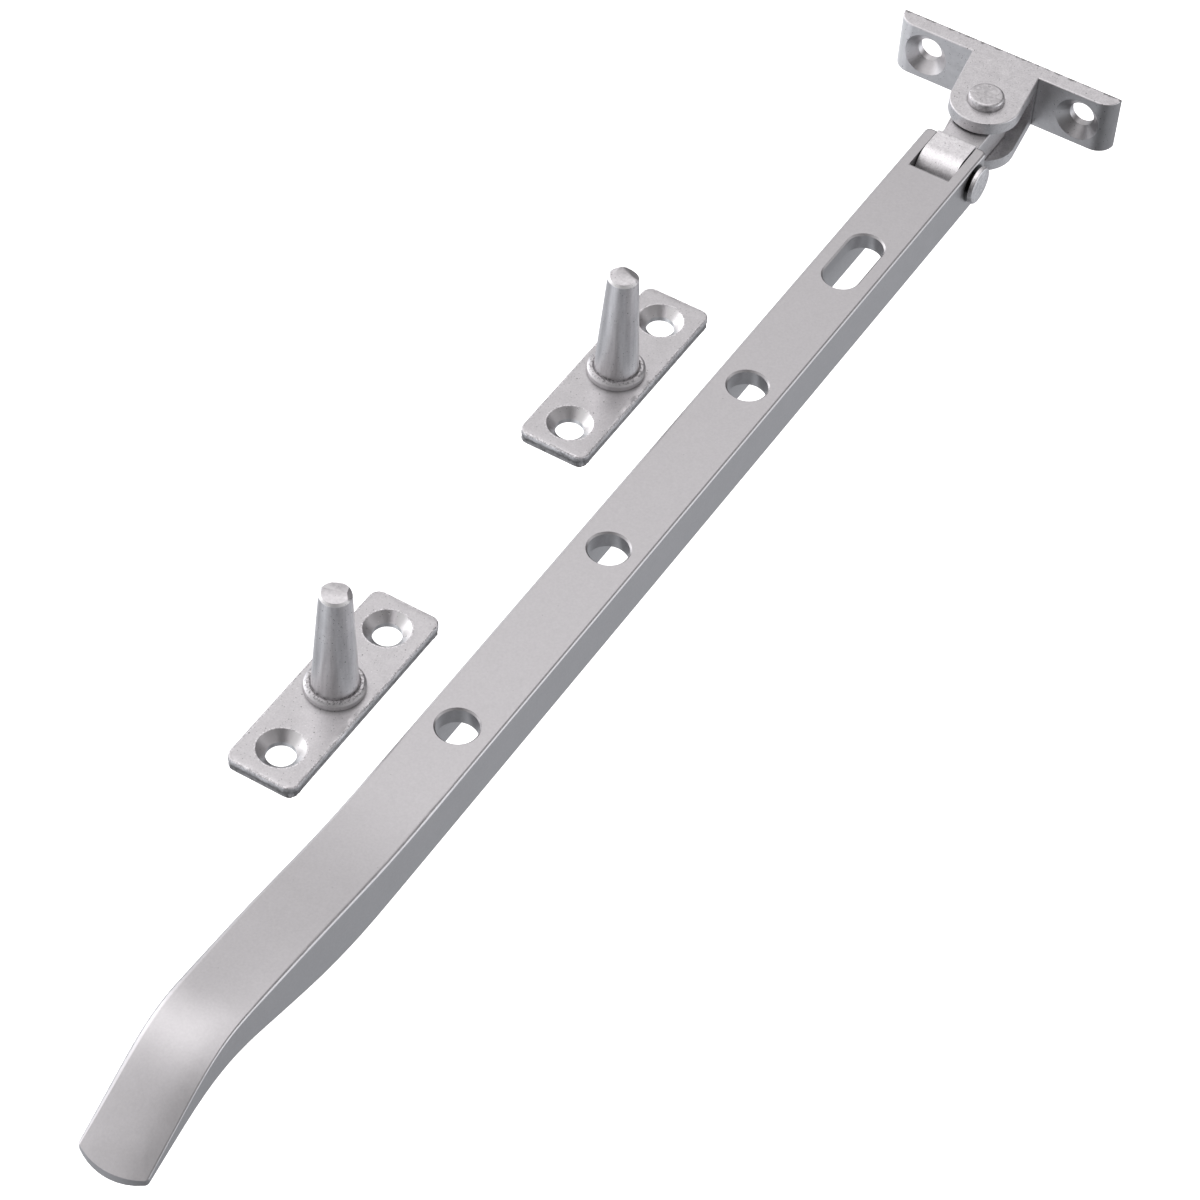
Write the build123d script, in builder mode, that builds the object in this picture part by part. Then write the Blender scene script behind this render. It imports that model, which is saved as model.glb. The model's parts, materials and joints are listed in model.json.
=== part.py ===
from build123d import *
import os

# Casement window stay: a channel-section arm with peg holes and a cranked handle,
# hung from a screw-on bracket through a swivel link, with two loose tapered pegs.
#
# Units are millimetres. The origin is on the bracket's mounting face, in line with the arm.
# +X runs along the arm to the handle's tip, +Z is up, and the stay lies flat on
# a surface at z = floor.

# ---------------------------------------------------------------- driving sizes

# bracket: a base plate on edge, with a forked lug
bracket_length = 52.0
bracket_height = 13.0
bracket_thickness = 4.0
bracket_end_radius = 3.9
bracket_edge_radius = 0.3
bracket_screw_spacing = 36.7
bracket_screw_hole = 5.6
bracket_countersink = 10.1
lug_width = 15.4
ear_thickness = 2.8
fork_root = 1.8
pivot_reach = 12.8
lug_lean = 2.2

# pivot pin, riveted through both ears
pivot_pin_diameter = 5.0
pivot_head_diameter = 7.7
pivot_head_height = 1.7
pivot_head_round = 0.7

# swivel link: a flat tongue between the ears and a knuckle inside the arm
link_centres = 17.8
link_width = 8.9
knuckle_radius = 5.0
tongue_overhang = 4.6
tongue_corner = 2.2
link_edge_radius = 0.3

# cross pin, riveted through the arm's flanges and the knuckle
cross_pin_diameter = 4.5
cross_head_diameter = 8.2
cross_head_height = 1.0
cross_head_stand_off = 0.8
cross_head_round = 0.35
cross_peen = 0.8

# arm: an inverted channel, notched at the hinge end
arm_length = 301.0
arm_width = 14.2
arm_height = 11.2
web_thickness = 3.7
arm_edge_radius = 0.7
arm_corner_radius = 1.2
prong_reach = 5.5
notch_corner = 0.6
notch_gap = 2.4

# peg holes and the slot in the arm's web
peg_hole_diameter = 8.1
peg_hole_count = 3
first_hole = 88.5
last_hole_to_tip = 107.4
slot_centre = 45.4
slot_length = 17.6
slot_width = 7.7
hole_chamfer = 0.35

# handle: it rises from the arm, bends over a crown and runs down to the tip
handle_length = 76.2
crown_to_tip = 23.1
rise_height = 6.2
rise_bend = 13.0
crown_bend = 10.5
tip_top_height = 2.9
tip_thickness = 2.0
tip_nose_radius = 13.0
tip_corner_radius = 1.0
under_start_to_tip = 60.0
under_rise_height = 10.6
under_start_bend = 18.0
under_crown_bend = 14.0
handle_sections = 18

# the handle's top is domed, with a soft far edge and a crisp near edge
handle_dome = 1.1
dome_start_to_tip = 56.0
far_edge_radius = 2.6
near_edge_radius = 0.4
far_edge_share = 0.9

# loose peg plates
plate_length = 50.0
plate_width = 15.1
plate_thickness = 2.8
plate_corner = 2.2
plate_edge_radius = 0.4
plate_screw_spacing = 35.0
plate_screw_hole = 5.8
plate_countersink = 9.4

# tapered pegs, riveted into the plates
peg_height = 25.8
peg_root_diameter = 9.0
peg_top_diameter = 6.2
peg_top_chamfer = 0.45
collar_diameter = 11.7
collar_height = 1.7
collar_round = 0.5
root_groove = 0.35
tenon_diameter = 6.0

# where the two pegs lie beside the arm
first_peg_place = 121.2
peg_place_spacing = 100.1
peg_lay_side = -27.4

# clearances
pin_clearance = 0.05
tongue_gap = 0.4
knuckle_side_gap = 0.25

# ---------------------------------------------------------------- worked-out sizes

floor = -bracket_height / 2
pivot_x = bracket_thickness + pivot_reach
cross_x = pivot_x + link_centres
arm_start = cross_x - prong_reach
arm_tip = arm_start + arm_length
arm_top = floor + arm_height
channel_width = link_width + 2 * knuckle_side_gap
notch_end = cross_x + knuckle_radius + notch_gap
fork_gap = bracket_height - 2 * ear_thickness
tongue_thickness = fork_gap - 2 * tongue_gap
pivot_radius = pivot_pin_diameter / 2
cross_radius = cross_pin_diameter / 2
hole_start = arm_start + first_hole
hole_pitch = (arm_length - first_hole - last_hole_to_tip) / (peg_hole_count - 1)
hole_places = [hole_start + hole_pitch * n for n in range(peg_hole_count)]
peg_places = [first_peg_place, first_peg_place + peg_place_spacing]

os.makedirs("parts", exist_ok=True)

# ---------------------------------------------------------------- bracket

front_plane = Plane(origin=(bracket_thickness, -lug_lean, 0), x_dir=(0, 1, 0), z_dir=(1, 0, 0))
pivot_plane = Plane(origin=(pivot_x, 0, floor))

with BuildPart() as bracket:
    with BuildSketch(Plane.XY.offset(floor)):
        with Locations((bracket_thickness / 2, -lug_lean)):
            Rectangle(bracket_thickness, bracket_length)
    extrude(amount=bracket_height)
    front_corners = bracket.edges().filter_by(Axis.Z).group_by(Axis.X)[-1]
    fillet(front_corners, bracket_end_radius)
    # the lug leans along the base plate, so the pivot isn't over the plate's middle
    with BuildSketch(Plane.XY.offset(floor)):
        with Locations((bracket_thickness / 2, -lug_lean)):
            Rectangle(bracket_thickness, lug_width)
        with Locations((pivot_x, 0)):
            Circle(lug_width / 2)
        make_hull()
    extrude(amount=bracket_height)
    edge_faces = bracket.faces().filter_by(Axis.Z)
    fillet(edge_faces.edges(), bracket_edge_radius)
    # the fork that takes the link's tongue
    with BuildSketch(Plane.XY.offset(-fork_gap / 2)):
        with Locations((bracket_thickness + fork_root, 0)):
            Rectangle(pivot_reach + lug_width, lug_width * 2, align=(Align.MIN, Align.CENTER))
    extrude(amount=fork_gap, mode=Mode.SUBTRACT)
    with BuildSketch(pivot_plane):
        Circle(pivot_radius)
    extrude(amount=bracket_height, mode=Mode.SUBTRACT)
    with Locations(front_plane.location):
        with GridLocations(bracket_screw_spacing, 0, 2, 1):
            CounterSinkHole(
                radius=bracket_screw_hole / 2,
                counter_sink_radius=bracket_countersink / 2,
                depth=bracket_thickness,
                counter_sink_angle=90,
            )

bracket.part.label = "bracket"
export_step(bracket.part, "parts/bracket.step")

# ---------------------------------------------------------------- pivot pin

with BuildPart() as pivot_pin:
    with BuildSketch(pivot_plane):
        Circle(pivot_radius)
    extrude(amount=bracket_height)
    with BuildSketch(pivot_plane.offset(bracket_height)):
        Circle(pivot_head_diameter / 2)
    extrude(amount=pivot_head_height)
    fillet(pivot_pin.edges().sort_by(Axis.Z)[-1], pivot_head_round)

pivot_pin.part.label = "pivot_pin"
export_step(pivot_pin.part, "parts/pivot_pin.step")

# ---------------------------------------------------------------- swivel link

tongue_end = pivot_x - tongue_overhang
tongue_length = arm_start - tongue_end

with BuildPart() as swivel_link:
    # the tongue, rounded at the corners that turn inside the fork
    with BuildSketch(Plane.XY.offset(-tongue_thickness / 2)):
        with Locations((tongue_end + tongue_length / 2, 0)):
            Rectangle(tongue_length, link_width)
    extrude(amount=tongue_thickness)
    fork_corners = swivel_link.edges().filter_by(Axis.Z).group_by(Axis.X)[0]
    fillet(fork_corners, tongue_corner)
    tongue_faces = swivel_link.faces().filter_by(Axis.Z)
    fillet(tongue_faces.edges(), link_edge_radius)
    # the knuckle, square towards the fork and round towards the handle
    with BuildSketch(Plane.XZ):
        with Locations((arm_start, 0)):
            Rectangle(prong_reach, 2 * knuckle_radius, align=(Align.MIN, Align.CENTER))
        with Locations((cross_x, 0)):
            Circle(knuckle_radius)
    extrude(amount=link_width / 2, both=True)
    knuckle_end = swivel_link.edges().filter_by(Axis.Y).group_by(Axis.Z)
    fillet(knuckle_end[0] + knuckle_end[-1], link_edge_radius)
    with BuildSketch(pivot_plane):
        Circle(pivot_radius + pin_clearance)
    extrude(amount=bracket_height, mode=Mode.SUBTRACT)
    with BuildSketch(Plane.XZ):
        with Locations((cross_x, 0)):
            Circle(cross_radius + pin_clearance)
    extrude(amount=arm_width, both=True, mode=Mode.SUBTRACT)

swivel_link.part.label = "swivel_link"
export_step(swivel_link.part, "parts/swivel_link.step")

# ---------------------------------------------------------------- cross pin

# Looking out through the near flange: the head stands a little way off it.
head_plane = Plane(origin=(cross_x, arm_width / 2, 0), x_dir=(1, 0, 0), z_dir=(0, 1, 0))

with BuildPart() as cross_pin:
    with BuildSketch(head_plane.offset(-arm_width)):
        Circle(cross_radius)
    extrude(amount=arm_width + cross_head_stand_off)
    with BuildSketch(head_plane.offset(cross_head_stand_off)):
        Circle(cross_head_diameter / 2)
    extrude(amount=cross_head_height)
    fillet(cross_pin.edges().sort_by(Axis.Y)[-1], cross_head_round)
    # the far end, peened flush into a countersink in the flange
    with BuildSketch(head_plane.offset(-arm_width)):
        Circle(cross_radius + cross_peen)
    extrude(amount=cross_peen, taper=45)

cross_pin.part.label = "cross_pin"
export_step(cross_pin.part, "parts/cross_pin.step")

# ---------------------------------------------------------------- arm

handle_start = arm_tip - handle_length
crown_place = arm_tip - crown_to_tip
under_start = arm_tip - under_start_to_tip
half_width = arm_width / 2
rise_slope = rise_height / (crown_place - handle_start)
fall_slope = (arm_height + rise_height - tip_top_height) / crown_to_tip
under_rise_slope = under_rise_height / (crown_place - under_start)
under_fall_slope = (under_rise_height - tip_top_height + tip_thickness) / crown_to_tip


def smooth_step(share):
    share = min(max(share, 0), 1)
    return share**2 * (3 - 2 * share)


# Past a bend this is the distance from it, and before the bend it is zero.
def bend(distance, half_length):
    share = (distance + half_length) / (2 * half_length)
    if share <= 0:
        return 0
    if share >= 1:
        return distance
    return 2 * half_length * (share**3 - share**4 / 2)


def top_height(x):
    rise = rise_slope * bend(x - handle_start, rise_bend)
    fall = (rise_slope + fall_slope) * bend(x - crown_place, crown_bend)
    return arm_top + rise - fall


def under_height(x):
    rise = under_rise_slope * bend(x - under_start, under_start_bend)
    fall = (under_rise_slope + under_fall_slope) * bend(x - crown_place, under_crown_bend)
    return floor + rise - fall


# From 0 at the arm's square section to 1 at the fully domed tip.
def doming(x):
    dome_start = arm_tip - dome_start_to_tip
    return smooth_step((x - dome_start) / (crown_place + crown_bend - dome_start))


loft_start = hole_places[-1] + peg_hole_diameter
loft_end = arm_tip + tip_corner_radius
section_gap = (loft_end - loft_start) / (handle_sections - 1)
section_places = [loft_start + section_gap * n for n in range(handle_sections)]

with BuildPart() as stay_arm:
    # the straight part, rounded along its top edges and at the hinge end
    with BuildSketch(Plane.XY.offset(floor)):
        with Locations((arm_start, 0)):
            Rectangle(loft_start - arm_start, arm_width, align=(Align.MIN, Align.CENTER))
    extrude(amount=arm_height)
    hinge_corners = stay_arm.edges().filter_by(Axis.Z).group_by(Axis.X)[0]
    fillet(hinge_corners, arm_corner_radius)
    top_rim = stay_arm.faces().sort_by(Axis.Z)[-1].edges().sort_by(Axis.X)
    fillet(top_rim[:-1], arm_edge_radius)
    # the handle, from the square section to the domed tip
    for x in section_places:
        dome = handle_dome * doming(x)
        shoulder = top_height(x) - dome
        side_height = shoulder - under_height(x)
        room = side_height * far_edge_share
        soft_radius = far_edge_radius * room / (far_edge_radius + room)
        far_radius = arm_edge_radius + (soft_radius - arm_edge_radius) * doming(x)
        near_radius = arm_edge_radius + (near_edge_radius - arm_edge_radius) * doming(x)
        with BuildSketch(Plane(origin=(x, 0, 0), x_dir=(0, 1, 0), z_dir=(1, 0, 0))) as section:
            with BuildLine():
                Polyline(
                    (-half_width, shoulder), (-half_width, under_height(x)),
                    (half_width, under_height(x)), (half_width, shoulder),
                )
                if dome > 0:
                    ThreePointArc((-half_width, shoulder), (0, top_height(x)), (half_width, shoulder))
                else:
                    Line((-half_width, shoulder), (half_width, shoulder))
            make_face()
            far_corner = section.vertices().sort_by(Axis.Y)[-2:].sort_by(Axis.X)[0]
            fillet(far_corner, far_radius)
            near_corner = section.vertices().group_by(Axis.X)[-1].sort_by(Axis.Y)[-1]
            fillet(near_corner, near_radius)
    loft()
    # the tip's nose, from above
    with BuildSketch(Plane.XY.offset(floor)) as plan:
        with Locations((arm_tip - tip_nose_radius, 0)):
            Circle(tip_nose_radius)
            Rectangle(2 * tip_nose_radius, arm_width, mode=Mode.INTERSECT)
        with Locations((arm_start, 0)):
            Rectangle(arm_length - tip_nose_radius, arm_width, align=(Align.MIN, Align.CENTER))
        nose_corners = plan.vertices().group_by(Axis.X)[-1]
        fillet(nose_corners, tip_corner_radius)
    extrude(amount=arm_height + rise_height, mode=Mode.INTERSECT)
    # the hollow under the web, which fades out towards the tip
    roof_points = [(x, top_height(x) - web_thickness) for x in section_places]
    with BuildSketch(Plane.XZ):
        with BuildLine():
            roof_line = Spline(*roof_points)
            Polyline(
                roof_line @ 1, (loft_end, floor - web_thickness), (arm_start, floor - web_thickness),
                (arm_start, arm_top - web_thickness), roof_line @ 0,
            )
        make_face()
    extrude(amount=channel_width / 2, both=True, mode=Mode.SUBTRACT)
    # the notch that clears the knuckle
    with BuildSketch(Plane.XY.offset(arm_top - web_thickness)):
        with Locations((arm_start, 0)):
            notch_length = notch_end - arm_start
            notch = Rectangle(2 * notch_length, channel_width)
        fillet(notch.vertices().group_by(Axis.X)[-1], notch_corner)
    extrude(amount=web_thickness, mode=Mode.SUBTRACT)
    # the slot and the peg holes, with their rims eased
    with BuildSketch(Plane.XY.offset(arm_top - web_thickness)):
        with Locations((arm_start + slot_centre, 0)):
            SlotOverall(slot_length, slot_width)
        with Locations([(place, 0) for place in hole_places]):
            Circle(peg_hole_diameter / 2)
    extrude(amount=web_thickness, mode=Mode.SUBTRACT)
    web_edges = stay_arm.edges().filter_by_position(Axis.Z, arm_top, arm_top)
    middle_edges = web_edges.filter_by_position(Axis.Y, -slot_width / 2, slot_width / 2)
    rims = middle_edges.filter_by_position(Axis.X, notch_end + notch_corner, hole_places[-1] + peg_hole_diameter)
    chamfer(rims, hole_chamfer)
    with BuildSketch(Plane.XZ):
        with Locations((cross_x, 0)):
            Circle(cross_radius)
    extrude(amount=arm_width, both=True, mode=Mode.SUBTRACT)
    with BuildSketch(head_plane.offset(-arm_width)):
        Circle(cross_radius + cross_peen)
    extrude(amount=cross_peen, taper=45, mode=Mode.SUBTRACT)

stay_arm.part.label = "stay_arm"
export_step(stay_arm.part, "parts/stay_arm.step")

# ---------------------------------------------------------------- pegs and their plates

for number, place in enumerate(peg_places, start=1):
    underside = Plane(origin=(place, peg_lay_side, floor))
    face = underside.offset(plate_thickness)

    with BuildPart() as peg_plate:
        with BuildSketch(underside):
            RectangleRounded(plate_length, plate_width, plate_corner)
        extrude(amount=plate_thickness)
        fillet(peg_plate.faces().sort_by(Axis.Z)[-1].edges(), plate_edge_radius)
        with BuildSketch(underside):
            Circle(tenon_diameter / 2)
        extrude(amount=plate_thickness, mode=Mode.SUBTRACT)
        with Locations(face.location):
            with GridLocations(plate_screw_spacing, 0, 2, 1):
                CounterSinkHole(
                    radius=plate_screw_hole / 2,
                    counter_sink_radius=plate_countersink / 2,
                    depth=plate_thickness,
                    counter_sink_angle=90,
                )

    peg_plate.part.label = f"peg_plate_{number}"
    export_step(peg_plate.part, f"parts/peg_plate_{number}.step")

    # half the peg's outline: tenon, collar, groove, cone and chamfered top
    cone_foot = plate_thickness + collar_height
    peg_top = plate_thickness + peg_height
    outline = [
        (0, 0),
        (tenon_diameter / 2, 0),
        (tenon_diameter / 2, plate_thickness),
        (collar_diameter / 2, plate_thickness),
        (collar_diameter / 2, cone_foot - collar_round),
        (collar_diameter / 2 - collar_round, cone_foot),
        (peg_root_diameter / 2 + root_groove, cone_foot),
        (peg_root_diameter / 2, cone_foot - root_groove),
        (peg_root_diameter / 2, cone_foot),
        (peg_top_diameter / 2, peg_top - peg_top_chamfer),
        (peg_top_diameter / 2 - peg_top_chamfer, peg_top),
        (0, peg_top),
    ]
    peg_side = Plane(origin=(place, peg_lay_side, floor), x_dir=(1, 0, 0), z_dir=(0, -1, 0))

    with BuildPart() as peg:
        with BuildSketch(peg_side):
            with BuildLine():
                Polyline(*outline, close=True)
            make_face()
        revolve(axis=Axis((place, peg_lay_side, floor), (0, 0, 1)))

    peg.part.label = f"peg_{number}"
    export_step(peg.part, f"parts/peg_{number}.step")
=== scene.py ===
# %% [markdown]
# # A casement window stay in satin plate
#
# The stay holds a window open. A bracket is screwed to the casement, a link swivels in
# the bracket's fork, and a long channel-section arm hinges on the link. The arm's holes
# drop over a tapered peg on the sill. Two such pegs lie beside the arm on their plates.
#
# The solid parts come from the CAD model and stay exactly where it puts them. This
# lesson gives them their plated finishes, adds the small things that a casting or a
# pressing has and a drawing leaves out, and lights them like a catalogue page.

# %% Load the frame
import json
import math
import bpy
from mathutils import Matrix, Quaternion, Vector

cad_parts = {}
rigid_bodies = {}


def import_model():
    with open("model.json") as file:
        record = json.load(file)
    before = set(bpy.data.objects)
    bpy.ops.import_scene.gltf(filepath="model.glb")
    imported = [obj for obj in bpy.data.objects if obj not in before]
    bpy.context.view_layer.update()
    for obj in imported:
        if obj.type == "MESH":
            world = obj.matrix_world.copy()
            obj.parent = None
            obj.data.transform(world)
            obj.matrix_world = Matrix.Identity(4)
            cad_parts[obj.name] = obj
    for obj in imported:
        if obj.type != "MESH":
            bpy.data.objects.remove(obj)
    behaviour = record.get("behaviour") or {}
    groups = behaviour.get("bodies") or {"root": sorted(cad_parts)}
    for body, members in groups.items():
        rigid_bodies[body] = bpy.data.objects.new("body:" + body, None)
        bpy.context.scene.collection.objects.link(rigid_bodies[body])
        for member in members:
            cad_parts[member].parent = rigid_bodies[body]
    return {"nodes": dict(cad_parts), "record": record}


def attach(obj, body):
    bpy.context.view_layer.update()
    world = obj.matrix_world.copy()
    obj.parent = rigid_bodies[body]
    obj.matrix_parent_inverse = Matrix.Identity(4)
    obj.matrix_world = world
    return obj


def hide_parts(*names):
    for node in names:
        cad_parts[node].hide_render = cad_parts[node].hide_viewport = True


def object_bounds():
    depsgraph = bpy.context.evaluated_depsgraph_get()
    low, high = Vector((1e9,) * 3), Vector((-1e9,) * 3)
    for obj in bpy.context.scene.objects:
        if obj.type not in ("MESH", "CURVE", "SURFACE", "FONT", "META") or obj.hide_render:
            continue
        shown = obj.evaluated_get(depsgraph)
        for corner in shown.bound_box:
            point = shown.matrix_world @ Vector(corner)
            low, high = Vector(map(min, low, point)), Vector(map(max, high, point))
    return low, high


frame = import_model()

scene = bpy.context.scene
cad_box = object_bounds()
floor_z = cad_box[0][2]
print("CAD box, in metres:", cad_box)

# %% [markdown]
# ## Reading shader maths as Python
#
# A node tree is a formula drawn with boxes. Wrapping a socket in a small class lets the
# formula be written as one line of Python instead. An operator on a value adds one Math
# node. Vectors and colours have their own methods, because a Math node would turn a
# colour grey.

# %% A socket that can be added, multiplied and compared
class Wire:
    """One output socket of a node, with the tree that it belongs to."""

    def __init__(self, tree, socket):
        self.tree = tree
        self.socket = socket

    def node(self, kind, settings=None, sockets=None, output=0):
        """Adds a node, with its settings and a value or a wire on each of its inputs."""
        made = self.tree.nodes.new("ShaderNode" + kind)
        for name, value in (settings or {}).items():
            setattr(made, name, value)
        for name, value in (sockets or {}).items():
            if isinstance(value, Wire):
                self.tree.links.new(value.socket, made.inputs[name])
            else:
                made.inputs[name].default_value = value
        return Wire(self.tree, made.outputs[output])

    def maths(self, operation, first, second):
        return self.node("Math", {"operation": operation}, {0: first, 1: second})

    def __add__(self, other):
        return self.maths("ADD", self, other)

    def __radd__(self, other):
        return self.maths("ADD", other, self)

    def __sub__(self, other):
        return self.maths("SUBTRACT", self, other)

    def __rsub__(self, other):
        return self.maths("SUBTRACT", other, self)

    def __mul__(self, other):
        return self.maths("MULTIPLY", self, other)

    def __rmul__(self, other):
        return self.maths("MULTIPLY", other, self)

    def __truediv__(self, other):
        return self.maths("DIVIDE", self, other)

    def __pow__(self, other):
        return self.maths("POWER", self, other)

    def largest(self, other):
        return self.maths("MAXIMUM", self, other)

    def size(self):
        """The value without its sign."""
        return self.node("Math", {"operation": "ABSOLUTE"}, {0: self})

    def fade(self, start, end, low=0.0, high=1.0):
        """A smooth step: low before start, high after end."""
        return self.node("MapRange", {"interpolation_type": "SMOOTHSTEP"}, {
            "Value": self, "From Min": start, "From Max": end, "To Min": low, "To Max": high})

    def vector(self, operation, other, output=0):
        """Output 0 is a vector. Output 1 is a number, such as a dot product."""
        return self.node("VectorMath", {"operation": operation}, {0: self, 1: other}, output)

    def split(self):
        """The three parts of a vector, as three wires."""
        made = self.node("SeparateXYZ", None, {"Vector": self}).socket.node
        return [Wire(self.tree, socket) for socket in made.outputs]

    def mix_colours(self, first, second):
        """Self is the share of the second colour. The colours go in on 6 and 7, and out of 2."""
        return self.node("Mix", {"data_type": "RGBA"}, {0: self, 6: first, 7: second}, 2)


def grey(level):
    return (level, level, level, 1.0)

# %% [markdown]
# ## The studio
#
# Satin metal has no colour of its own to speak of: it shows a blurred picture of the
# room. So the room matters as much as the metal. A real product table has a big soft box
# overhead, a wall of light on the far left, a weaker reflector on the right, and it is
# dark where the camera stands. Each soft box here is a smooth round glow on the world's
# sky, which lights without hard edges and without grain.
#
# A box is brightest in its own direction and fades all round it. The tighter it is, the
# smaller it looks. The sky is a little cooler below the table than above it.

# %% Soft boxes on the sky
def direction(azimuth, elevation):
    turn, rise = math.radians(azimuth), math.radians(elevation)
    return (math.cos(turn) * math.cos(rise), math.sin(turn) * math.cos(rise), math.sin(rise))


soft_boxes = [
    # name, azimuth, elevation, strength, tightness
    ("overhead", 0, 79, 0.58, 11),
    ("overhead, right", 138, 71, 0.21, 11),
    ("overhead, left", -85, 66, 0.92, 11),
    ("overhead, far", -170, 57, 1.02, 11),
    ("high, near left", -32, 53, 0.41, 11),
    ("high, near right", 73, 36, 0.37, 11),
    ("left wall, high", -97, 27, 1.18, 11),
    ("left wall, far", -130, 16, 0.63, 11),
    ("left wall, level", -77, 9, 0.99, 11),
    ("left wall, near", -25, 3, 0.79, 11),
    ("bare lamp, left", -104, 0, 1.60, 26),
    ("right wall, level", 113, 1, 1.57, 11),
    ("right wall, near", 80, -9, 0.43, 11),
    ("right of the table", 133, -16, 0.60, 11),
    ("left of the table", -37, -24, 1.01, 11),
    ("under, near right", 68, -39, 0.35, 11),
    ("under, near", 0, -45, 0.30, 11),
    ("under, left", -114, -49, 0.86, 11),
    ("under, far", 173, -57, 0.51, 11),
]

world = bpy.data.worlds.new("studio")
scene.world = world
world.use_nodes = True
background = world.node_tree.nodes["Background"]
coordinates = world.node_tree.nodes.new("ShaderNodeTexCoord")
sky = Wire(world.node_tree, coordinates.outputs["Generated"])
glow = 0.0
for name, azimuth, elevation, strength, tightness in soft_boxes:
    facing = sky.vector("DOT_PRODUCT", direction(azimuth, elevation), 1)
    falloff = sky.node("Math", {"operation": "EXPONENT"}, {0: (facing - 1.0) * tightness})
    glow = falloff * strength + glow
cool, neutral = (0.955, 0.98, 1.03, 1), (1.01, 0.985, 1.0, 1)
tint = sky.split()[2].fade(-0.5, 0.5).mix_colours(cool, neutral)
world.node_tree.links.new(tint.socket, background.inputs["Color"])
world.node_tree.links.new(glow.socket, background.inputs["Strength"])
scene.view_settings.view_transform = "Standard"
print("soft boxes:", len(soft_boxes))

# %% [markdown]
# ## The table
#
# Below the parts is a white light table, a sheet of opal glass lit from below. It is plain
# white behind the parts, with no shadows, so each outline stays crisp. It is left out of
# reflections, because the metal's undersides should show the dim room and not a glaring
# sheet. It is set low enough for the arm to swing right down and still be seen.

# %% A light table under the parts
table_drop, table_size, under_the_arm = 0.32, 8.0, 0.15
bpy.ops.object.select_all(action="DESELECT")
table_place = (under_the_arm, 0.0, floor_z - table_drop)
bpy.ops.mesh.primitive_plane_add(size=table_size, location=table_place)
table = bpy.context.object
table.name = "light_table"
opal = bpy.data.materials.new("opal_glass")
opal.use_nodes = True
shader = opal.node_tree.nodes["Principled BSDF"]
shader.inputs["Base Color"].default_value = grey(0.9)
shader.inputs["Roughness"].default_value = 0.9
shader.inputs["Emission Color"].default_value = grey(1.0)
shader.inputs["Emission Strength"].default_value = 0.9
table.data.materials.append(opal)
table.visible_glossy = False
table.visible_shadow = False
print("table at z =", round(table.location.z, 4))

# %% [markdown]
# ## The camera
#
# A catalogue picture is taken with a long lens from well above, so that the arm runs
# across the frame from corner to corner and its top and one side both show.

# %% A long lens, looking down along the arm
lens_mm, sensor_mm = 118.185, 36.0
aim = Vector((0.178444, 0.003409, 0.0))
camera_azimuth, camera_elevation = 27.8884, 47.7638
camera_distance = 0.736915
camera_roll = math.radians(4.565)

camera_data = bpy.data.cameras.new("camera")
camera_data.lens = lens_mm
camera_data.sensor_width = sensor_mm
camera = bpy.data.objects.new("camera", camera_data)
scene.collection.objects.link(camera)
scene.camera = camera
back = Vector(direction(camera_azimuth, camera_elevation))
camera.location = aim + back * camera_distance
camera.rotation_mode = "QUATERNION"
camera.rotation_quaternion = (-back).to_track_quat("-Z", "Y") @ Quaternion((0, 0, 1), camera_roll)
print("camera at", [round(value, 4) for value in camera.location])

# %% [markdown]
# ## Pegs with a hand-filed top
#
# A peg is turned in one setting and then parted off, which leaves a small pip on its top.
# Someone files the pip away, and the file leaves a slanted facet at the rim, each time at
# another angle. A turned solid can't show that. So each peg here is a copy of the drawn
# one, with its top cut by a slanted plane, just as the file cuts it. The cut only takes
# metal away, so the peg still fits every hole that the drawn one fits.

# %% File a facet on each peg
def copy_of(node, name):
    """A free copy of a CAD part, with its own mesh, ready for edit mode."""
    bpy.ops.object.select_all(action="DESELECT")
    part = frame["nodes"][node]
    part.select_set(True)
    bpy.context.view_layer.objects.active = part
    bpy.ops.object.duplicate()
    copy = bpy.context.object
    copy.name = name
    copy.data.name = name
    bpy.ops.object.parent_clear(type="CLEAR_KEEP_TRANSFORM")
    bpy.ops.mesh.customdata_custom_splitnormals_clear()
    bpy.ops.object.mode_set(mode="EDIT")
    bpy.ops.mesh.select_all(action="SELECT")
    bpy.ops.mesh.remove_doubles(threshold=1e-6)
    return copy


def file_facet(centre, azimuth, reach, tilt):
    """Cuts away what lies above a plane that starts at reach from the axis and falls outwards."""
    outwards, lean = direction(azimuth, 0), math.radians(tilt)
    bpy.ops.mesh.select_all(action="SELECT")
    bpy.ops.mesh.bisect(
        plane_co=(centre[0] + outwards[0] * reach, centre[1] + outwards[1] * reach, centre[2]),
        plane_no=(outwards[0] * math.sin(lean), outwards[1] * math.sin(lean), math.cos(lean)),
        use_fill=True, clear_outer=True)


def finish_copy(copy, crease, body, node):
    """Closes the edit. A corner sharper than crease, in degrees, stays a sharp corner."""
    bpy.ops.mesh.select_all(action="SELECT")
    bpy.ops.mesh.normals_make_consistent(inside=False)
    bpy.ops.object.mode_set(mode="OBJECT")
    bpy.ops.object.shade_smooth_by_angle(angle=math.radians(crease))
    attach(copy, body)
    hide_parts(node)
    print(copy.name, "faces:", len(copy.data.polygons))


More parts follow.
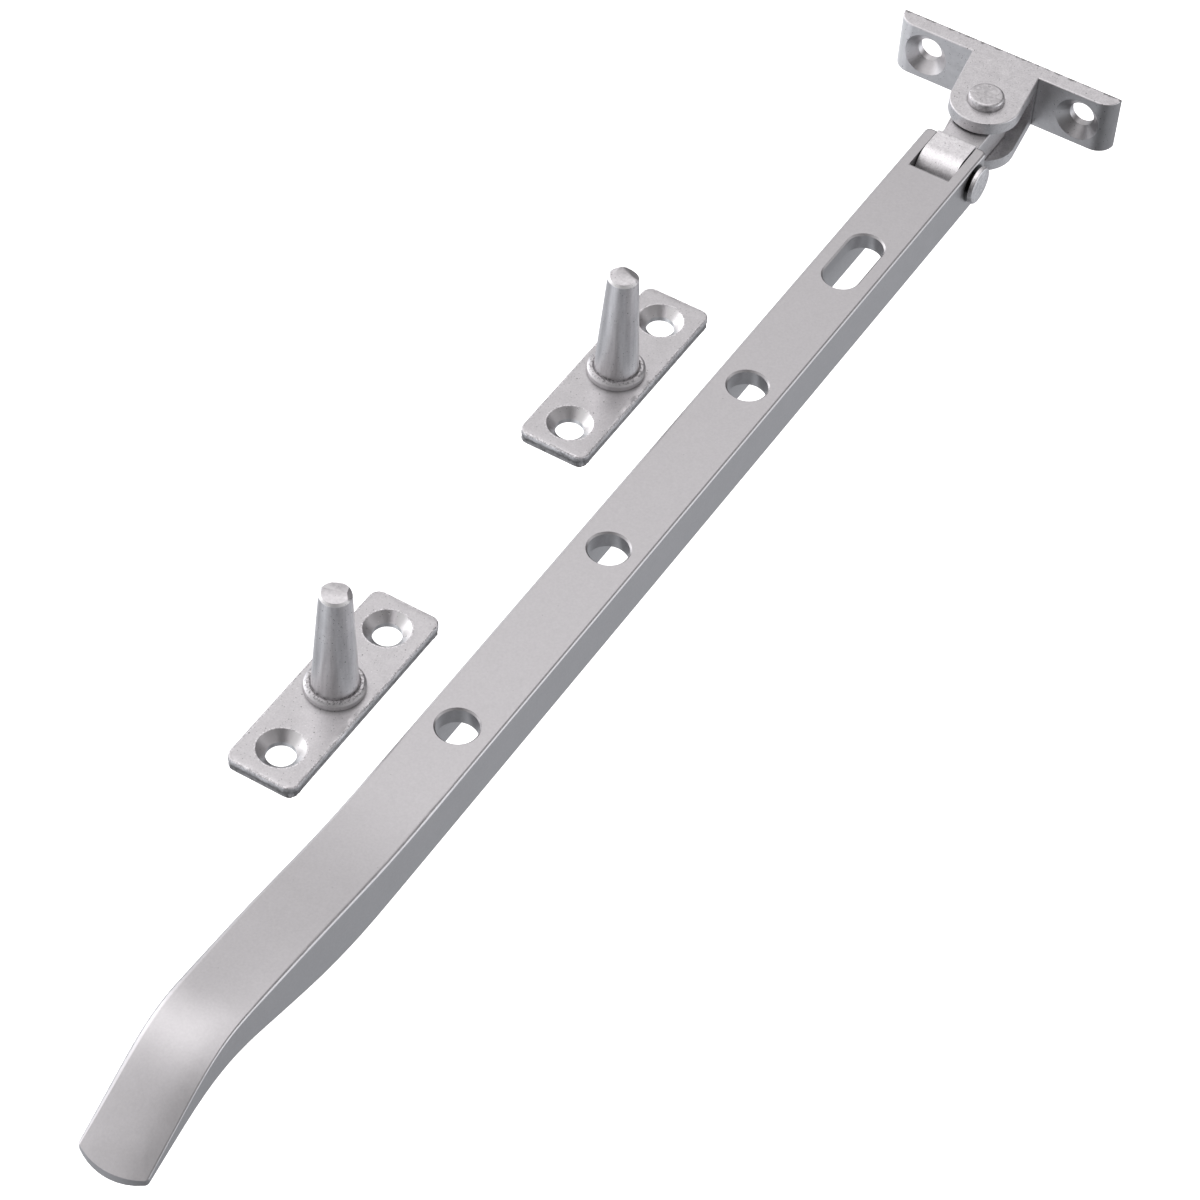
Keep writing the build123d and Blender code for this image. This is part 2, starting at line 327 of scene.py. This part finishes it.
mounts = {mount["name"]: mount for mount in frame["record"]["mounts"]}
peg_tops = [mounts["peg_%d_taper" % number]["pos_m"] for number in (1, 2)]
peg_crease, plate_crease = 30, 38
facets = [
    # peg, azimuth, reach from the axis in metres, tilt in degrees
    (1, 163, 0.0013, 24),
    (2, 205, 0.0004, 12),
    (2, 128, 0.0019, 30),
]
filed_pegs = []
for number, centre in enumerate(peg_tops, start=1):
    filed = copy_of("peg_%d" % number, "filed_peg_%d" % number)
    for peg, azimuth, reach, tilt in facets:
        if peg == number:
            file_facet(centre, azimuth, reach, tilt)
    finish_copy(filed, peg_crease, "loose_peg_%d" % number, "peg_%d" % number)
    filed_pegs.append(filed)

# %% [markdown]
# ## Plates with torn edges
#
# The plates are punched out of strip. A punch shears the upper part of the edge clean, and
# then the rest of the thickness tears away, a little inside the sheared line and rough.
# Each torn plate is a copy of the drawn one. Its edge is cut into short lengths and a few
# levels, the lower levels are drawn in, and their points are scattered by a few hundredths
# of a millimetre. The rounded top rim is scattered less, because tumbling has softened it.

# %% Tear the lower edge of each plate
plate_half_length, plate_half_width, plate_corner = 0.025, 0.00755, 0.0022
plate_thickness = 0.0028
plate_upper = floor_z + plate_thickness
sheared = 0.0012                            # how deep the edge is sheared clean, from the top
torn_levels = (0.0, 0.0004, 0.001)          # cuts across the torn band, from its top
torn_start, torn_stop = 0.0002, 0.0004      # how far inside the band the scattering keeps
slice_length = 0.0009
lengthways, crossways = range(-27, 28), range(-8, 9)
edge_face, edge_band = 0.0001, 0.0005       # the edge alone, and the edge with a border
drawn_in, torn_scatter = 0.00022, 0.00009
softened, rim_scatter = 0.00004, 0.00003
far_away = 1.0                              # a height that no point of a plate reaches


def select_edge(copy, centre, lowest, highest, margin):
    """Selects the points within margin of the plate's outline, between two heights."""
    bpy.ops.mesh.select_all(action="DESELECT")
    bpy.ops.object.mode_set(mode="OBJECT")
    for vertex in copy.data.vertices:
        along = max(abs(vertex.co.x - centre[0]) - (plate_half_length - plate_corner), 0.0)
        side = max(abs(vertex.co.y - centre[1]) - (plate_half_width - plate_corner), 0.0)
        at_the_edge = math.hypot(along, side) > plate_corner - margin
        vertex.select = at_the_edge and lowest < vertex.co.z < highest
    bpy.ops.object.mode_set(mode="EDIT")


def slice_up(origin, axis, places):
    """Cuts the mesh right across an axis at each place, measured from the origin."""
    for place in places:
        point, normal = list(origin), [0.0, 0.0, 0.0]
        point[axis] += place
        normal[axis] = 1.0
        bpy.ops.mesh.select_all(action="SELECT")
        bpy.ops.mesh.bisect(plane_co=point, plane_no=normal)


torn_plates = []
for number, centre in enumerate(peg_tops, start=1):
    torn = copy_of("peg_plate_%d" % number, "torn_plate_%d" % number)
    origin = (centre[0], centre[1], plate_upper)
    slice_up(origin, 2, [-sheared - level for level in torn_levels])
    slice_up(origin, 0, [slice_length * step for step in lengthways])
    slice_up(origin, 1, [slice_length * step for step in crossways])
    torn_from = plate_upper - sheared - torn_start
    select_edge(torn, centre, floor_z - far_away, torn_from, edge_face)
    bpy.ops.transform.shrink_fatten(value=-drawn_in)
    select_edge(torn, centre, floor_z + torn_stop, torn_from, edge_band)
    bpy.ops.transform.vertex_random(offset=torn_scatter, uniform=0.0, normal=0.4, seed=number)
    select_edge(torn, centre, plate_upper - edge_band, plate_upper + far_away, edge_band)
    bpy.ops.transform.shrink_fatten(value=-softened)
    bpy.ops.transform.vertex_random(offset=rim_scatter, uniform=0.0, normal=0.5, seed=number + 5)
    finish_copy(torn, plate_crease, "loose_peg_%d" % number, "peg_plate_%d" % number)
    torn_plates.append(torn)
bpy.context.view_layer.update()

# %% [markdown]
# ## One recipe for satin plate
#
# Every part is zinc or steel with a matt nickel-silver plate. The plate is the same, and
# what lies under it differs: a tumbled casting is pitted, a pressing is grainy, and the
# arm is linished smooth. So one recipe makes all the finishes, with a few settings for
# the grain, the pits and the clouding. Noise is measured in millimetres on the part.

# %% The satin plate recipe
millimetre = 0.001
plate_tint = (0.62, 0.612, 0.62)


def noise(place, size_mm, detail=2.0, roughness=0.5):
    """Noise about zero, from about -0.5 to 0.5."""
    scale = 1.0 / (size_mm * millimetre)
    sockets = {"Vector": place, "Scale": scale, "Detail": detail, "Roughness": roughness}
    return place.node("TexNoise", None, sockets) - 0.5


def specks(place, spacing_mm, radius_mm, share):
    """Round specks, one in some of the cells of a scattered grid: 1 inside a speck, 0 outside."""
    cells = {"Vector": place, "Scale": 1.0 / (spacing_mm * millimetre), "Randomness": 1.0}
    distance = place.node("TexVoronoi", None, cells)
    chance = place.node("TexVoronoi", None, cells, 1).split()[0]
    radius = radius_mm / spacing_mm
    return (1 - distance.fade(radius * 0.5, radius)) * chance.fade(1 - share, 1 - share + 0.02)


def satin_plate(name, zones, rough, grain_mm, grain_depth, fleck, cloud, pits):
    """One finish.

    Zones is a function of the place, in millimetres. It gives how bright the plate is there, how
    much rougher it is, and how much of the grain shows. Fleck and cloud are how much the grain and
    the clouds change the tone. Pits is the share of the cells that hold a pit.
    """
    material = bpy.data.materials.new(name)
    material.use_nodes = True
    tree = material.node_tree
    shader = tree.nodes["Principled BSDF"]
    place = Wire(tree, tree.nodes.new("ShaderNodeTexCoord").outputs["Object"])
    shader.inputs["Metallic"].default_value = 1.0
    clouds = noise(place, 3.2, 3.0)
    grain = noise(place, grain_mm, 2.0, 0.6)
    # Dents are the larger pits and fine the smaller ones. Both are given by spacing and radius.
    dents = specks(place, 1.3, 0.20, pits)
    fine = specks(place, 0.6, 0.11, pits * 1.4)
    sparks = specks(place, 0.8, 0.13, pits * 0.8)
    level, rougher, graininess = zones([axis / millimetre for axis in place.split()], place)
    # The tone: plate, dark in its pits, with a few bright sparks.
    shine = (1 + clouds * cloud + grain * fleck * graininess + sparks * 0.25) * level
    tone = (dents.largest(fine) * 0.75).mix_colours(plate_tint + (1.0,), grey(0.16))
    shaded = tone.vector("SCALE", (0, 0, 0))
    tree.links.new(shine.socket, shaded.socket.node.inputs["Scale"])
    tree.links.new(shaded.socket, shader.inputs["Base Color"])
    tree.links.new((rough + clouds * 0.08 + rougher).socket, shader.inputs["Roughness"])
    # The relief: grain with pits sunk into it, in millimetres.
    height = grain * grain_depth * graininess - dents * 0.025 - fine * 0.014
    bump = height.node("Bump", None, {"Strength": 1.0, "Distance": millimetre, "Height": height})
    tree.links.new(bump.socket, shader.inputs["Normal"])
    return material

# %% [markdown]
# ## Where each finish changes over a part
#
# Plating follows what lies beneath it. A countersink is machined after casting, so it is
# smoother than the skin round it. A sharp back edge chips in the tumbling barrel. Shade is
# painted darker into every narrow gap: round a rivet head, under a collar, in the hinge.
# These functions say where, in millimetres on the part. The sizes come from the record's
# mounts and joints where it has them.
#
# A zone is a mask between 0 and 1. Most are made from two helpers: within(distance, edge,
# blur) is 1 nearer than the edge, and beyond(distance, edge, blur) is 1 past it. Masks are
# multiplied to mean "and". Each function gives three things: how bright the plate is, how
# much rougher it is than usual, and how much of the grain shows.

# %% Zones on the bracket, link, pins, arm, plates and pegs
bracket_screws = mounts["bracket_screws"]["dims"]
plate_screws = mounts["peg_plate_1_screws"]["dims"]
bracket_middle = mounts["bracket_screws"]["pos_m"][1] / millimetre
bracket_top = -floor_z / millimetre      # z = 0 is halfway up the bracket
bracket_face, lug_half = 4.0, 7.7        # the base plate's front, and half the lug's width there
plate_top = plate_upper / millimetre
joints = {joint["name"]: joint for joint in frame["record"]["behaviour"]["joints"]}
pivot_place, cross_place = [joints[name]["pos_m"][0] / millimetre for name in ("swivel", "lift")]
peg_centres = [[value / millimetre for value in top] for top in peg_tops]
to_the_light = direction(118, 0)         # across the plates, to the level box on the right wall
to_the_back = direction(163, 0)          # away from the viewer's side of a peg


def within(distance, edge, blur):
    return 1 - distance.fade(edge - blur, edge + blur)


def beyond(distance, edge, blur):
    return distance.fade(edge - blur, edge + blur)


def from_axis(first, second):
    return (first * first + second * second) ** 0.5


def bracket_zones(axes, place):
    x, y, z = axes
    across = y - bracket_middle
    on_top = beyond(z, bracket_top - 0.2, 0.1)
    # Wear: chips along the sharp back edge of the top, and fine scratches beside them.
    ragged = noise(place, 1.6, 3.0)
    chips = within(x + ragged * 2.8, 0.4, 0.3) * beyond(z, bracket_top - 0.7, 0.2)
    scratches = noise(place, 0.5, 3.0, 0.7).fade(0.12, 0.18) * on_top
    mottle = noise(place, 1.2, 3.0)
    # Painted shade: round the rivet's head, between the ears, and in the corner beside the lug.
    to_pivot = from_axis(x - pivot_place, y)
    rivet_shade = within(to_pivot, 4.1, 0.2) * beyond(to_pivot, 2.8, 0.2) * on_top
    inside = within(z.size(), 3.7, 0.1) * beyond(x, 4.6, 0.4)
    corner = (1 - on_top) * within(from_axis(x - bracket_face, across - lug_half), 0.55, 0.35)
    # The front is darker away from the light and bright at its lit end.
    beside_lug = beyond(across.size(), lug_half, 0.1)
    front = (1 - on_top) * within(x, bracket_face + 0.25, 0.15) * beside_lug
    shaded_half = front * across.fade(2.0, 24.5)
    lit_end = front * within(across, -23.7, 1.9)
    to_screw = from_axis(across.size() - bracket_screws["pcd_mm"] / 2, z)
    countersink = within(to_screw, 5.0, 0.05)
    level = (1 - chips * 0.60) * (1 - scratches * 0.24) * (1 - rivet_shade * 0.45) * (1 - inside * 0.05)
    level = level * (1 - front * 0.16) * (1 - shaded_half * 0.32) * (1 + lit_end * 1.15)
    level = level * (1 - corner * 0.5) * (1.22 + mottle * 0.30) * (1 + countersink * 0.2)
    return level, countersink * -0.06, 1 - front * 0.85


def link_zones(axes, place):
    x = axes[0]
    # The knuckle is painted brighter as a painted highlight, and its mottle is stronger.
    knuckle = beyond(x, 29.5, 0.5)
    mottle = noise(place, 0.9, 3.0)
    lines = noise(place, 0.45, 2.0).fade(0.08, 0.20)
    level = (1.12 + knuckle * (0.36 + mottle * 0.6)) * (1 - lines * 0.18)
    return level, mottle * 0.1, knuckle * 0.6 + 0.4


def pin_zones(axes, place):
    y = axes[1]
    mottle = noise(place, 0.7, 3.0)
    # The side head is polished, and the neck under it is in its shade.
    side_head = beyond(y, 6.5, 0.5)
    neck = side_head * within(y, 7.9, 0.05)
    level = (1.10 + mottle * 0.8 + side_head * 0.25) * (1 - neck * 0.93)
    return level, mottle * 0.1, mottle * 0.5 + 1


def arm_zones(axes, place):
    x, y, z = axes
    # Painted shade on the flange behind the cross pin's head, and in the notch beside the knuckle.
    shade_behind_head = within(from_axis(x - cross_place, z), 4.15, 0.25) * beyond(y, 6.95, 0.05)
    shaded_notch = within(x, 42.2, 0.2) * within(y.size(), 4.715, 0.035)
    return (1 - shade_behind_head * 0.9) * (1 - shaded_notch * 0.5), shaded_notch * 0.05, shaded_notch + 1


def along_plate(x):
    """Places along the nearer of the two plates, measured from its middle."""
    first, second = peg_centres[0][0], peg_centres[1][0]
    middle, half = (first + second) / 2, (second - first) / 2
    return (x - middle) - (x - middle).fade(-1.0, 1.0, -half, half)


def towards(way, along, side):
    """How far a place on a plate lies in a level direction."""
    return along * way[0] + side * way[1]


def plate_zones(axes, place):
    x, y, z = axes
    side, along = y - peg_centres[0][1], along_plate(x)
    half_spacing = plate_screws["pcd_mm"] / 2
    nearest = along - along.fade(-1.0, 1.0, -half_spacing, half_spacing)
    # The countersinks are smooth, lit on the wall that faces the light, with a worn rim.
    to_screw = from_axis(nearest, side)
    countersink = within(to_screw, 4.65, 0.05)
    lit_wall = countersink * towards(to_the_light, nearest, side).fade(-2.6, 3.2)
    rim = beyond(to_screw, 4.6, 0.1) * within(to_screw, 5.0, 0.1)
    # The edge: a worn border on top, a sheared band below it, and then the torn band.
    flecks = noise(place, 0.35, 2.0, 0.7)
    outline = beyond(side.size(), 7.05, 0.1).largest(beyond(along.size(), 24.5, 0.1))
    edge = outline * within(z, plate_top - 0.5, 0.1)
    border = outline - edge
    streaks = noise(place, 0.8, 3.0, 0.7)
    torn = edge * within(z + streaks * 1.8, plate_top - 1.05, 0.25)
    # The peg's collar shades its foot, and the peg throws a glow on the plate behind it.
    foot = within(from_axis(along, side), 6.1, 0.2)
    ahead = along * to_the_light[1] - side * to_the_light[0]
    beside = towards(to_the_light, along, side)
    behind_peg = beyond(ahead, 5.5, 1.5) * within(ahead, 16.0, 6.0)
    behind_peg = behind_peg * within(beside.size(), 5.0, 2.0)
    level = 1 - countersink * 0.10 + lit_wall * 0.85
    level = level * (1 + (rim + border) * (flecks * 1.8 + 0.08))
    level = level * (1 - torn * (0.46 + streaks)) * (1 - foot * 0.18) * (1 + behind_peg * 0.20)
    return level * 1.06, countersink * -0.10 + torn * 0.15, 1 - countersink * 0.8


def peg_zones(axes, place):
    x, y, z = axes
    side, along = y - peg_centres[0][1], along_plate(x)
    height = z - plate_top
    ragged = noise(place, 0.55, 3.0, 0.7)
    # The collar: its wall is painted darker as shade, with crumbs of metal on its top and a painted
    # shadow at its foot.
    crumbs = within((height - 1.75).size(), 0.285, 0.165) * beyond(ragged, 0.03, 0.05)
    foot_shadow = within(height + ragged * 0.3, 0.175, 0.125)
    wall = within(height, 1.05, 0.15)
    # The cone: drawn streaks run up it, and its lit flank is brighter than the other.
    drawn = noise(place.vector("MULTIPLY", (1.0, 1.0, 0.07)), 0.8, 2.0)
    cone = beyond(height, 2.05, 0.15)
    beside = towards(to_the_light, along, side)
    flanks = cone * (beyond(beside, 2.5, 1.3) * 0.26 - beyond(beside * -1.0, 2.2, 0.8) * 0.06)
    # The top is freshly filed, and its chamfer shines on the near side.
    top = beyond(height, 25.2, 0.2)
    near_side = within(towards(to_the_back, along, side), 0.4, 1.0)
    chamfer = beyond(height, 25.3, 0.1) * within(height, 25.745, 0.045) * near_side
    level = (1 - crumbs * 0.45) * (1 - foot_shadow * 0.35) * (1 + chamfer * 0.5 + top * 0.12 + flanks)
    return level * (1.18 + drawn * cone * 0.5 - wall * 0.18), crumbs * 0.1, ragged * 0.5 + 1


finish_settings = {
    # name of the finish, zones, roughness, grain in mm, grain depth, fleck, cloud, pits
    "cast": ("tumbled casting, satin plate", bracket_zones, 0.42, 0.40, 0.016, 0.45, 0.20, 0.25),
    "link": ("cast link, satin plate", link_zones, 0.42, 0.40, 0.016, 0.42, 0.20, 0.30),
    "pin": ("rivet head, satin plate", pin_zones, 0.42, 0.40, 0.016, 0.45, 0.25, 0.35),
    "smooth": ("linished arm, satin plate", arm_zones, 0.36, 0.50, 0.001, 0.18, 0.06, 0.01),
    "stamped": ("stamped strip, satin plate", plate_zones, 0.40, 0.35, 0.010, 0.34, 0.18, 0.28),
    "turned": ("turned peg, satin plate", peg_zones, 0.40, 0.50, 0.005, 0.20, 0.16, 0.32),
}
finishes = {key: satin_plate(*settings) for key, settings in finish_settings.items()}
print("finishes:", ", ".join(finishes))

# %% Put each finish on its parts
finish_of = {
    "bracket": "cast", "swivel_link": "link", "stay_arm": "smooth",
    "pivot_pin": "pin", "cross_pin": "pin",
    "peg_plate_1": "stamped", "peg_plate_2": "stamped", "peg_1": "turned", "peg_2": "turned",
}
pieces = [(frame["nodes"][node], finish) for node, finish in finish_of.items()]
pieces += [(peg, "turned") for peg in filed_pegs]
pieces += [(plate, "stamped") for plate in torn_plates]
for piece, finish in pieces:
    piece.data.materials.clear()
    piece.data.materials.append(finishes[finish])
print("plated pieces:", len(pieces))
